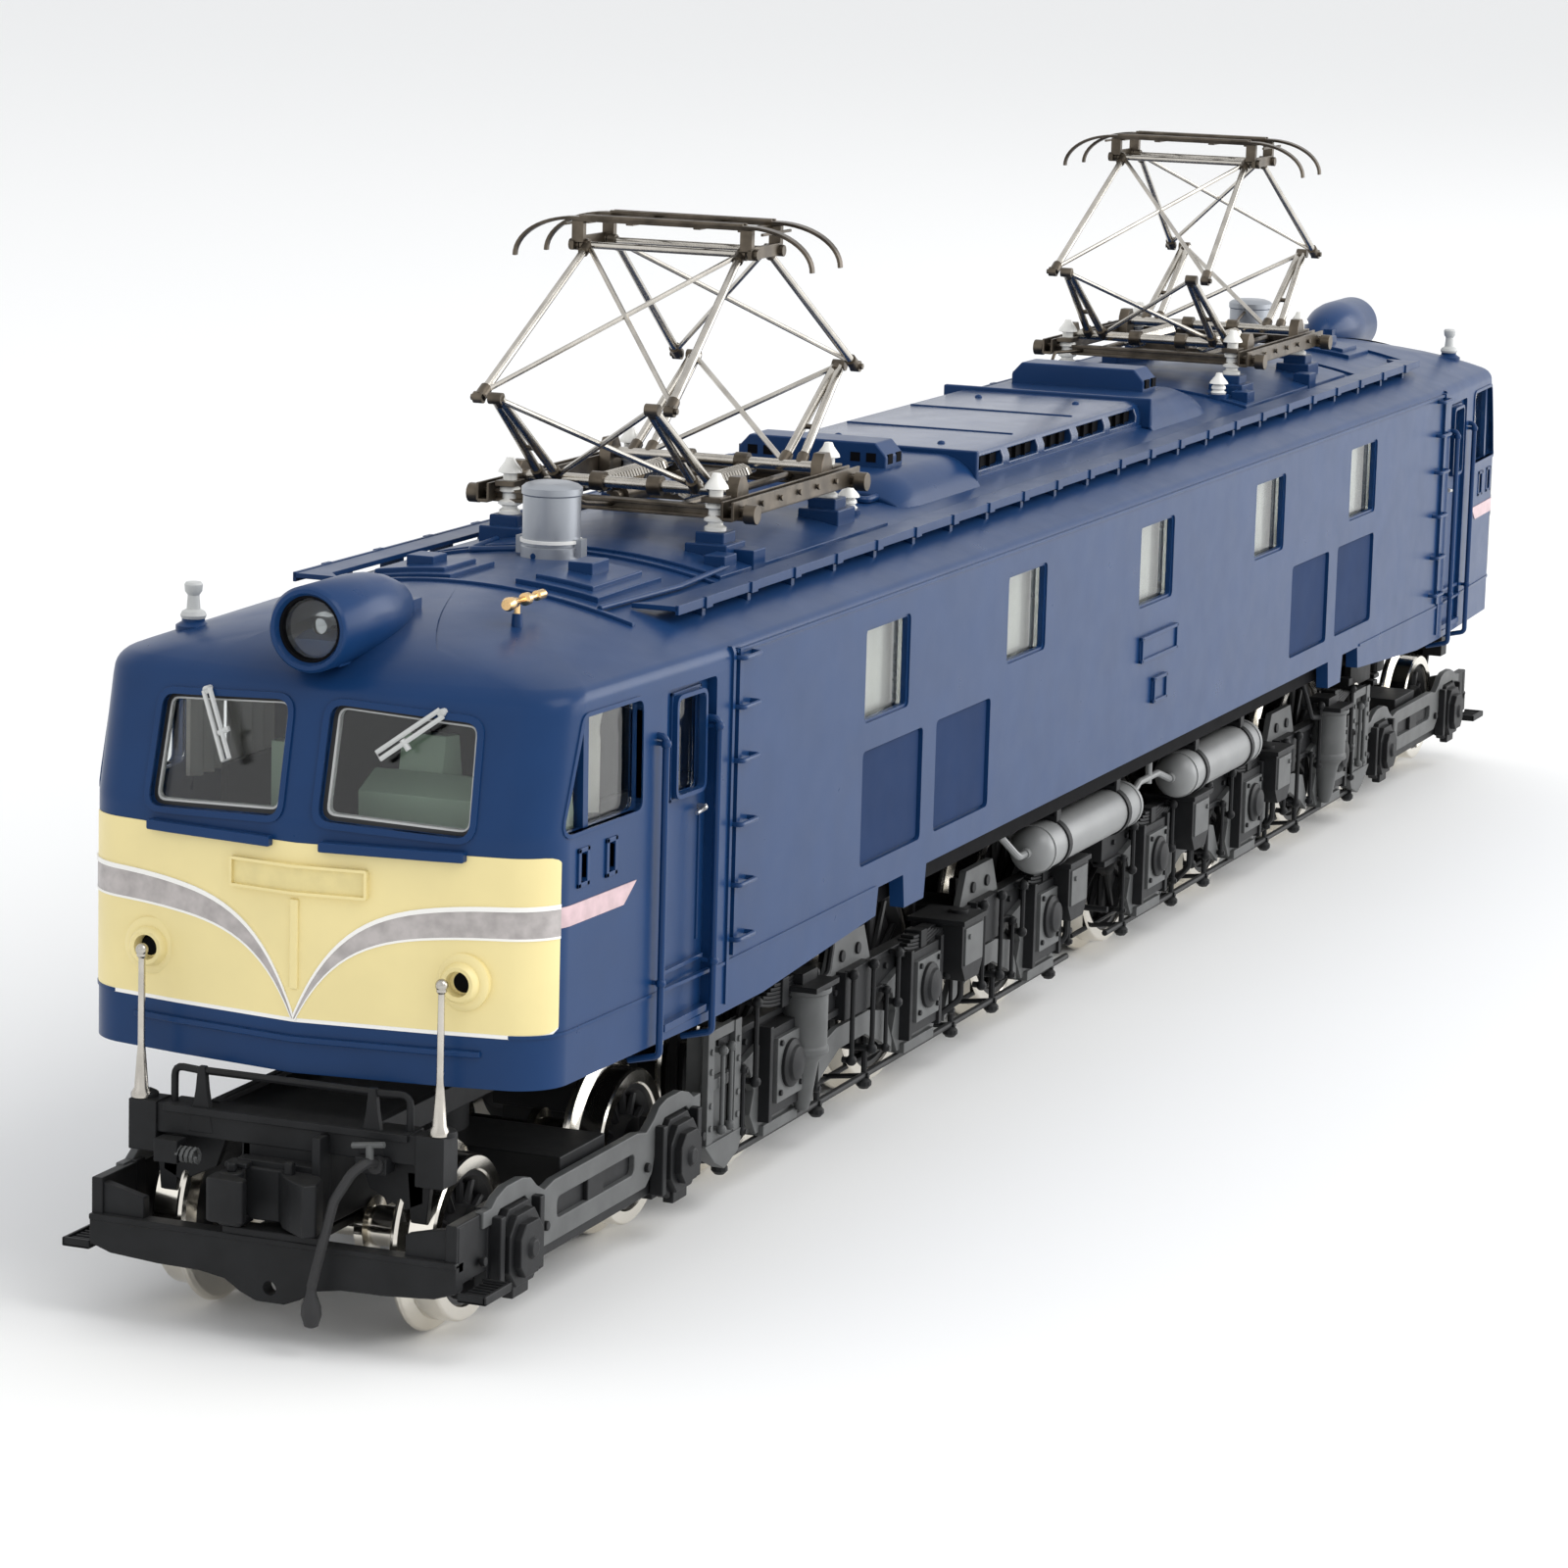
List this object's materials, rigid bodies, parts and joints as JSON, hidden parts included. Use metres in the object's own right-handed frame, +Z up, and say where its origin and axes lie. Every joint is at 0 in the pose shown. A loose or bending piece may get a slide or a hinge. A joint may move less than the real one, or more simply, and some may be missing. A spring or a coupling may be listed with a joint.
{
  "type": "model electric locomotive",
  "caption": "Scale model box-cab electric locomotive with streamlined cab ends, articulated trucks with lead trucks, a central motor with worm drive, and raised folding pantographs.",
  "frame": {"origin": "under the middle of the model, on the plane the wheel flanges stand on", "axes": "+X along the model to its front end, +Y to its left side, +Z up"},
  "size_m": [0.2488, 0.035, 0.0668],
  "materials": {
    "body_blue": "satin navy blue enamel",
    "body_cream": "satin cream enamel",
    "band_silver": "silver grey enamel band",
    "frame_black": "satin black",
    "tank_grey": "dark grey enamel",
    "frame_grey": "mid grey metallic enamel",
    "wheel_nickel": "nickel plated tread and rim",
    "shaft_steel": "turned steel",
    "motor_steel": "plated motor can",
    "gear_brass": "cut brass",
    "whistle_brass": "polished brass",
    "pantograph_bronze": "dulled phosphor bronze",
    "pantograph_silver": "silver tube",
    "arrester_silver": "turned, silvered",
    "insulator_white": "gloss white",
    "window_clear": "clear sheet",
    "cab_green": "pale green, matt",
    "curtain_beige": "beige, matt",
    "board_green": "circuit board lacquer",
    "hose_black": "soft black"
  },
  "bodies": {
    "loco_body": {"body_shell": "body_blue", "roof_monitor": "body_blue", "left_walkway": "body_blue", "right_walkway": "body_blue", "left_side_glazing": "window_clear", "right_side_glazing": "window_clear", "underframe": "frame_black", "left_front_air_tank": "tank_grey", "left_rear_air_tank": "tank_grey", "right_rear_air_tank": "tank_grey", "right_front_air_tank": "tank_grey", "motor_case": "motor_steel", "circuit_board": "board_green", "front_cab_glazing": "window_clear", "front_cab_interior": "cab_green", "front_headlight_housing": "body_blue", "front_headlight_lens": "window_clear", "front_arrester": "arrester_silver", "front_pantograph_base": "pantograph_bronze", "rear_cab_glazing": "window_clear", "rear_cab_interior": "cab_green", "rear_headlight_housing": "body_blue", "rear_headlight_lens": "window_clear", "rear_arrester": "arrester_silver", "rear_pantograph_base": "pantograph_bronze"},
    "motor_rotor": {"motor_shaft": "shaft_steel"},
    "front_truck": {"front_truck_frame": "frame_black", "front_gear_cover": "frame_black"},
    "front_input_gear": {"front_input_gear": "gear_brass"},
    "front_worm_shaft": {"front_worm_shaft": "shaft_steel"},
    "front_drive_axle_1": {"front_drive_wheelset_1": "wheel_nickel"},
    "front_drive_axle_2": {"front_drive_wheelset_2": "wheel_nickel"},
    "front_drive_axle_3": {"front_drive_wheelset_3": "wheel_nickel"},
    "front_lead_truck": {"front_lead_truck_frame": "frame_black"},
    "front_lead_axle_1": {"front_lead_wheelset_1": "wheel_nickel"},
    "front_lead_axle_2": {"front_lead_wheelset_2": "wheel_nickel"},
    "front_coupler": {"front_coupler": "frame_black"},
    "front_knuckle": {"front_coupler_knuckle": "frame_black"},
    "front_pantograph_lower_arm_outer": {"front_pantograph_lower_arm_outer": "pantograph_silver"},
    "front_pantograph_lower_arm_inner": {"front_pantograph_lower_arm_inner": "pantograph_silver"},
    "front_pantograph_upper_arm_outer": {"front_pantograph_upper_arm_outer": "pantograph_silver"},
    "front_pantograph_upper_arm_inner": {"front_pantograph_upper_arm_inner": "pantograph_silver"},
    "front_pantograph_head": {"front_pantograph_head": "pantograph_bronze"},
    "rear_truck": {"rear_truck_frame": "frame_black", "rear_gear_cover": "frame_black"},
    "rear_input_gear": {"rear_input_gear": "gear_brass"},
    "rear_worm_shaft": {"rear_worm_shaft": "shaft_steel"},
    "rear_drive_axle_1": {"rear_drive_wheelset_1": "wheel_nickel"},
    "rear_drive_axle_2": {"rear_drive_wheelset_2": "wheel_nickel"},
    "rear_drive_axle_3": {"rear_drive_wheelset_3": "wheel_nickel"},
    "rear_lead_truck": {"rear_lead_truck_frame": "frame_black"},
    "rear_lead_axle_1": {"rear_lead_wheelset_1": "wheel_nickel"},
    "rear_lead_axle_2": {"rear_lead_wheelset_2": "wheel_nickel"},
    "rear_coupler": {"rear_coupler": "frame_black"},
    "rear_knuckle": {"rear_coupler_knuckle": "frame_black"},
    "rear_pantograph_lower_arm_outer": {"rear_pantograph_lower_arm_outer": "pantograph_silver"},
    "rear_pantograph_lower_arm_inner": {"rear_pantograph_lower_arm_inner": "pantograph_silver"},
    "rear_pantograph_upper_arm_outer": {"rear_pantograph_upper_arm_outer": "pantograph_silver"},
    "rear_pantograph_upper_arm_inner": {"rear_pantograph_upper_arm_inner": "pantograph_silver"},
    "rear_pantograph_head": {"rear_pantograph_head": "pantograph_bronze"}
  },
  "joints": [
    {"name": "motor_spin", "type": "hinge", "parent": "loco_body", "child": "motor_rotor", "pos_m": [0, 0, 0.0249], "axis": [1, 0, 0], "continuous": true},
    {"name": "front_truck_yaw", "type": "hinge", "parent": "loco_body", "child": "front_truck", "pos_m": [0.042, 0, 0.0187], "axis": [0, 0, 1], "range_deg": [-3.5, 3.5]},
    {"name": "front_input_spin", "type": "hinge", "parent": "front_truck", "child": "front_input_gear", "pos_m": [0.055, 0, 0.0249], "axis": [1, 0, 0], "continuous": true},
    {"name": "front_worm_spin", "type": "hinge", "parent": "front_truck", "child": "front_worm_shaft", "pos_m": [0.055, 0, 0.0144], "axis": [1, 0, 0], "continuous": true},
    {"name": "front_drive_axle_1_spin", "type": "hinge", "parent": "front_truck", "child": "front_drive_axle_1", "pos_m": [0.07, 0, 0.0087], "axis": [0, 1, 0], "continuous": true},
    {"name": "front_drive_axle_2_spin", "type": "hinge", "parent": "front_truck", "child": "front_drive_axle_2", "pos_m": [0.042, 0, 0.0087], "axis": [0, 1, 0], "continuous": true},
    {"name": "front_drive_axle_3_spin", "type": "hinge", "parent": "front_truck", "child": "front_drive_axle_3", "pos_m": [0.014, 0, 0.0087], "axis": [0, 1, 0], "continuous": true},
    {"name": "front_lead_truck_yaw", "type": "hinge", "parent": "front_truck", "child": "front_lead_truck", "pos_m": [0.1012, 0, 0.011], "axis": [0, 0, 1], "range_deg": [-7, 7]},
    {"name": "front_lead_axle_1_spin", "type": "hinge", "parent": "front_lead_truck", "child": "front_lead_axle_1", "pos_m": [0.114, 0, 0.00627], "axis": [0, 1, 0], "continuous": true},
    {"name": "front_lead_axle_2_spin", "type": "hinge", "parent": "front_lead_truck", "child": "front_lead_axle_2", "pos_m": [0.0883, 0, 0.00627], "axis": [0, 1, 0], "continuous": true},
    {"name": "front_coupler_swing", "type": "hinge", "parent": "front_truck", "child": "front_coupler", "pos_m": [0.115, 0, 0.0095], "axis": [0, 0, 1], "range_deg": [-12, 12], "stiffness_Nm_per_rad": 0.0002},
    {"name": "front_knuckle_swing", "type": "hinge", "parent": "front_coupler", "child": "front_knuckle", "pos_m": [0.1224, -0.0026, 0.0095], "axis": [0, 0, 1], "range_deg": [-40, 0], "stiffness_Nm_per_rad": 0.0001, "springref_deg": 20.05},
    {"name": "front_pantograph_fold", "type": "hinge", "parent": "loco_body", "child": "front_pantograph_lower_arm_outer", "pos_m": [0.0687, 0, 0.0488], "axis": [0, 1, 0], "range_deg": [0, 33], "stiffness_Nm_per_rad": 0.002, "springref_deg": -28.65},
    {"name": "front_pantograph_lower_arm_inner_turn", "type": "hinge", "parent": "loco_body", "child": "front_pantograph_lower_arm_inner", "pos_m": [0.0527, 0, 0.0488], "axis": [0, 1, 0], "range_deg": [-34, 1]},
    {"name": "front_pantograph_outer_knee_turn", "type": "hinge", "parent": "front_pantograph_lower_arm_outer", "child": "front_pantograph_upper_arm_outer", "pos_m": [0.0782, 0, 0.0553], "axis": [0, 1, 0], "range_deg": [-50, 1]},
    {"name": "front_pantograph_inner_knee_turn", "type": "hinge", "parent": "front_pantograph_lower_arm_inner", "child": "front_pantograph_upper_arm_inner", "pos_m": [0.0432, 0, 0.0553], "axis": [0, 1, 0], "range_deg": [-1, 50]},
    {"name": "front_pantograph_head_turn", "type": "hinge", "parent": "front_pantograph_upper_arm_outer", "child": "front_pantograph_head", "pos_m": [0.0631, 0, 0.0649], "axis": [0, 1, 0], "range_deg": [-1, 17]},
    {"name": "rear_truck_yaw", "type": "hinge", "parent": "loco_body", "child": "rear_truck", "pos_m": [-0.042, 0, 0.0187], "axis": [0, 0, 1], "range_deg": [-3.5, 3.5]},
    {"name": "rear_input_spin", "type": "hinge", "parent": "rear_truck", "child": "rear_input_gear", "pos_m": [-0.055, 0, 0.0249], "axis": [1, 0, 0], "continuous": true},
    {"name": "rear_worm_spin", "type": "hinge", "parent": "rear_truck", "child": "rear_worm_shaft", "pos_m": [-0.055, 0, 0.0144], "axis": [1, 0, 0], "continuous": true},
    {"name": "rear_drive_axle_1_spin", "type": "hinge", "parent": "rear_truck", "child": "rear_drive_axle_1", "pos_m": [-0.07, 0, 0.0087], "axis": [0, 1, 0], "continuous": true},
    {"name": "rear_drive_axle_2_spin", "type": "hinge", "parent": "rear_truck", "child": "rear_drive_axle_2", "pos_m": [-0.042, 0, 0.0087], "axis": [0, 1, 0], "continuous": true},
    {"name": "rear_drive_axle_3_spin", "type": "hinge", "parent": "rear_truck", "child": "rear_drive_axle_3", "pos_m": [-0.014, 0, 0.0087], "axis": [0, 1, 0], "continuous": true},
    {"name": "rear_lead_truck_yaw", "type": "hinge", "parent": "rear_truck", "child": "rear_lead_truck", "pos_m": [-0.1012, 0, 0.011], "axis": [0, 0, 1], "range_deg": [-7, 7]},
    {"name": "rear_lead_axle_1_spin", "type": "hinge", "parent": "rear_lead_truck", "child": "rear_lead_axle_1", "pos_m": [-0.114, 0, 0.00627], "axis": [0, 1, 0], "continuous": true},
    {"name": "rear_lead_axle_2_spin", "type": "hinge", "parent": "rear_lead_truck", "child": "rear_lead_axle_2", "pos_m": [-0.0883, 0, 0.00627], "axis": [0, 1, 0], "continuous": true},
    {"name": "rear_coupler_swing", "type": "hinge", "parent": "rear_truck", "child": "rear_coupler", "pos_m": [-0.115, 0, 0.0095], "axis": [0, 0, 1], "range_deg": [-12, 12], "stiffness_Nm_per_rad": 0.0002},
    {"name": "rear_knuckle_swing", "type": "hinge", "parent": "rear_coupler", "child": "rear_knuckle", "pos_m": [-0.1224, 0.0026, 0.0095], "axis": [0, 0, 1], "range_deg": [-40, 0], "stiffness_Nm_per_rad": 0.0001, "springref_deg": 20.05},
    {"name": "rear_pantograph_fold", "type": "hinge", "parent": "loco_body", "child": "rear_pantograph_lower_arm_outer", "pos_m": [-0.0687, 0, 0.0488], "axis": [0, -1, 0], "range_deg": [0, 33], "stiffness_Nm_per_rad": 0.002, "springref_deg": -28.65},
    {"name": "rear_pantograph_lower_arm_inner_turn", "type": "hinge", "parent": "loco_body", "child": "rear_pantograph_lower_arm_inner", "pos_m": [-0.0527, 0, 0.0488], "axis": [0, -1, 0], "range_deg": [-34, 1]},
    {"name": "rear_pantograph_outer_knee_turn", "type": "hinge", "parent": "rear_pantograph_lower_arm_outer", "child": "rear_pantograph_upper_arm_outer", "pos_m": [-0.0782, 0, 0.0553], "axis": [0, -1, 0], "range_deg": [-50, 1]},
    {"name": "rear_pantograph_inner_knee_turn", "type": "hinge", "parent": "rear_pantograph_lower_arm_inner", "child": "rear_pantograph_upper_arm_inner", "pos_m": [-0.0432, 0, 0.0553], "axis": [0, -1, 0], "range_deg": [-1, 50]},
    {"name": "rear_pantograph_head_turn", "type": "hinge", "parent": "rear_pantograph_upper_arm_outer", "child": "rear_pantograph_head", "pos_m": [-0.0631, 0, 0.0649], "axis": [0, -1, 0], "range_deg": [-1, 17]}
  ],
  "couplings": [
    {"joint": "front_input_spin", "follows": "motor_spin", "ratio": 1},
    {"joint": "front_worm_spin", "follows": "motor_spin", "ratio": -1},
    {"joint": "front_drive_axle_1_spin", "follows": "motor_spin", "ratio": 0.1},
    {"joint": "front_drive_axle_2_spin", "follows": "motor_spin", "ratio": 0.1},
    {"joint": "front_drive_axle_3_spin", "follows": "motor_spin", "ratio": 0.1},
    {"joint": "front_pantograph_lower_arm_inner_turn", "follows": "front_pantograph_fold", "ratio": -1},
    {"joint": "front_pantograph_outer_knee_turn", "follows": "front_pantograph_fold", "ratio": -1.5},
    {"joint": "front_pantograph_inner_knee_turn", "follows": "front_pantograph_fold", "ratio": 1.5},
    {"joint": "front_pantograph_head_turn", "follows": "front_pantograph_fold", "ratio": 0.5},
    {"joint": "rear_input_spin", "follows": "motor_spin", "ratio": 1},
    {"joint": "rear_worm_spin", "follows": "motor_spin", "ratio": -1},
    {"joint": "rear_drive_axle_1_spin", "follows": "motor_spin", "ratio": 0.1},
    {"joint": "rear_drive_axle_2_spin", "follows": "motor_spin", "ratio": 0.1},
    {"joint": "rear_drive_axle_3_spin", "follows": "motor_spin", "ratio": 0.1},
    {"joint": "rear_pantograph_lower_arm_inner_turn", "follows": "rear_pantograph_fold", "ratio": -1},
    {"joint": "rear_pantograph_outer_knee_turn", "follows": "rear_pantograph_fold", "ratio": -1.5},
    {"joint": "rear_pantograph_inner_knee_turn", "follows": "rear_pantograph_fold", "ratio": 1.5},
    {"joint": "rear_pantograph_head_turn", "follows": "rear_pantograph_fold", "ratio": 0.5}
  ]
}
